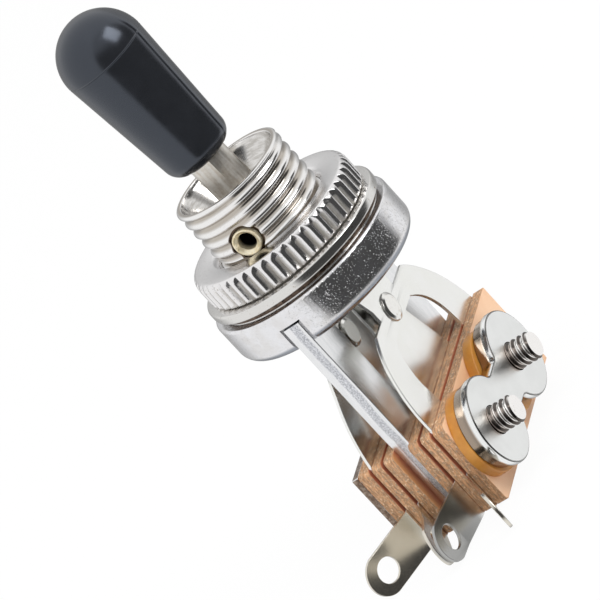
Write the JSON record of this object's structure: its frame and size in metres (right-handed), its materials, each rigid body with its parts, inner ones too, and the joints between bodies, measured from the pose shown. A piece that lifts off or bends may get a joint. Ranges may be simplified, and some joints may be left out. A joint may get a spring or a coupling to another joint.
{
  "type": "panel toggle switch",
  "caption": "Open-frame three-position panel toggle switch with a bullet lever tip, fluted dress nut, leaf contacts and an insulated contact stack.",
  "frame": {"origin": "on the bushing axis, at the top face of the cup, where the panel clamps", "axes": "+Z out of the panel towards the lever's tip, +X through the contact stack towards the nut plate, Y along the lever's pivot pin with the solder lugs on the -Y side"},
  "size_m": [0.0209, 0.0316, 0.0576],
  "materials": {
    "black_plastic": "moulded, semi gloss",
    "lever_nickel": "nickel plated brass bar, satin",
    "pin_brass": "bare brass tube, dulled",
    "nickel": "bright nickel plating",
    "washer_steel": "oiled spring steel",
    "frame_steel": "stamped steel, sheared edges",
    "phenolic": "punched paper phenolic with fibrous edges",
    "amber_resin": "moulded resin, amber",
    "plate_nickel": "bright nickel plating",
    "leaf_metal": "tinned spring sheet, bright",
    "contact_metal": "riveted contact, silver faced",
    "screw_steel": "plated steel",
    "sleeve_plastic": "plain insulating tube"
  },
  "bodies": {
    "body": {"pivot_pin": "pin_brass", "bushing": "nickel", "cup": "nickel", "dress_nut": "nickel", "flat_washer": "nickel", "lock_washer": "washer_steel", "frame": "frame_steel", "insulator_left_inner": "phenolic", "insulator_left_middle": "phenolic", "insulator_left_outer": "phenolic", "insulator_right_inner": "phenolic", "insulator_right_middle": "phenolic", "insulator_right_outer": "phenolic", "amber_spacer": "amber_resin", "nut_plate": "plate_nickel", "clamp_plate": "plate_nickel", "outer_leaf_left": "leaf_metal", "outer_leaf_right": "leaf_metal", "inner_leaf_left": "leaf_metal", "inner_leaf_right": "leaf_metal", "contact_outer_left": "contact_metal", "contact_outer_right": "contact_metal", "contact_inner_left": "contact_metal", "contact_inner_right": "contact_metal", "screw_near": "screw_steel", "screw_far": "screw_steel", "sleeve_near": "sleeve_plastic", "sleeve_far": "sleeve_plastic"},
    "lever": {"lever": "lever_nickel", "tip": "black_plastic"}
  },
  "joints": [
    {"name": "lever_tilt", "type": "hinge", "parent": "body", "child": "lever", "pos_m": [0, 0, 0.0057], "axis": [0, 1, 0], "range_deg": [-9, 15], "deforming": ["outer_leaf_left", "outer_leaf_right"]}
  ]
}
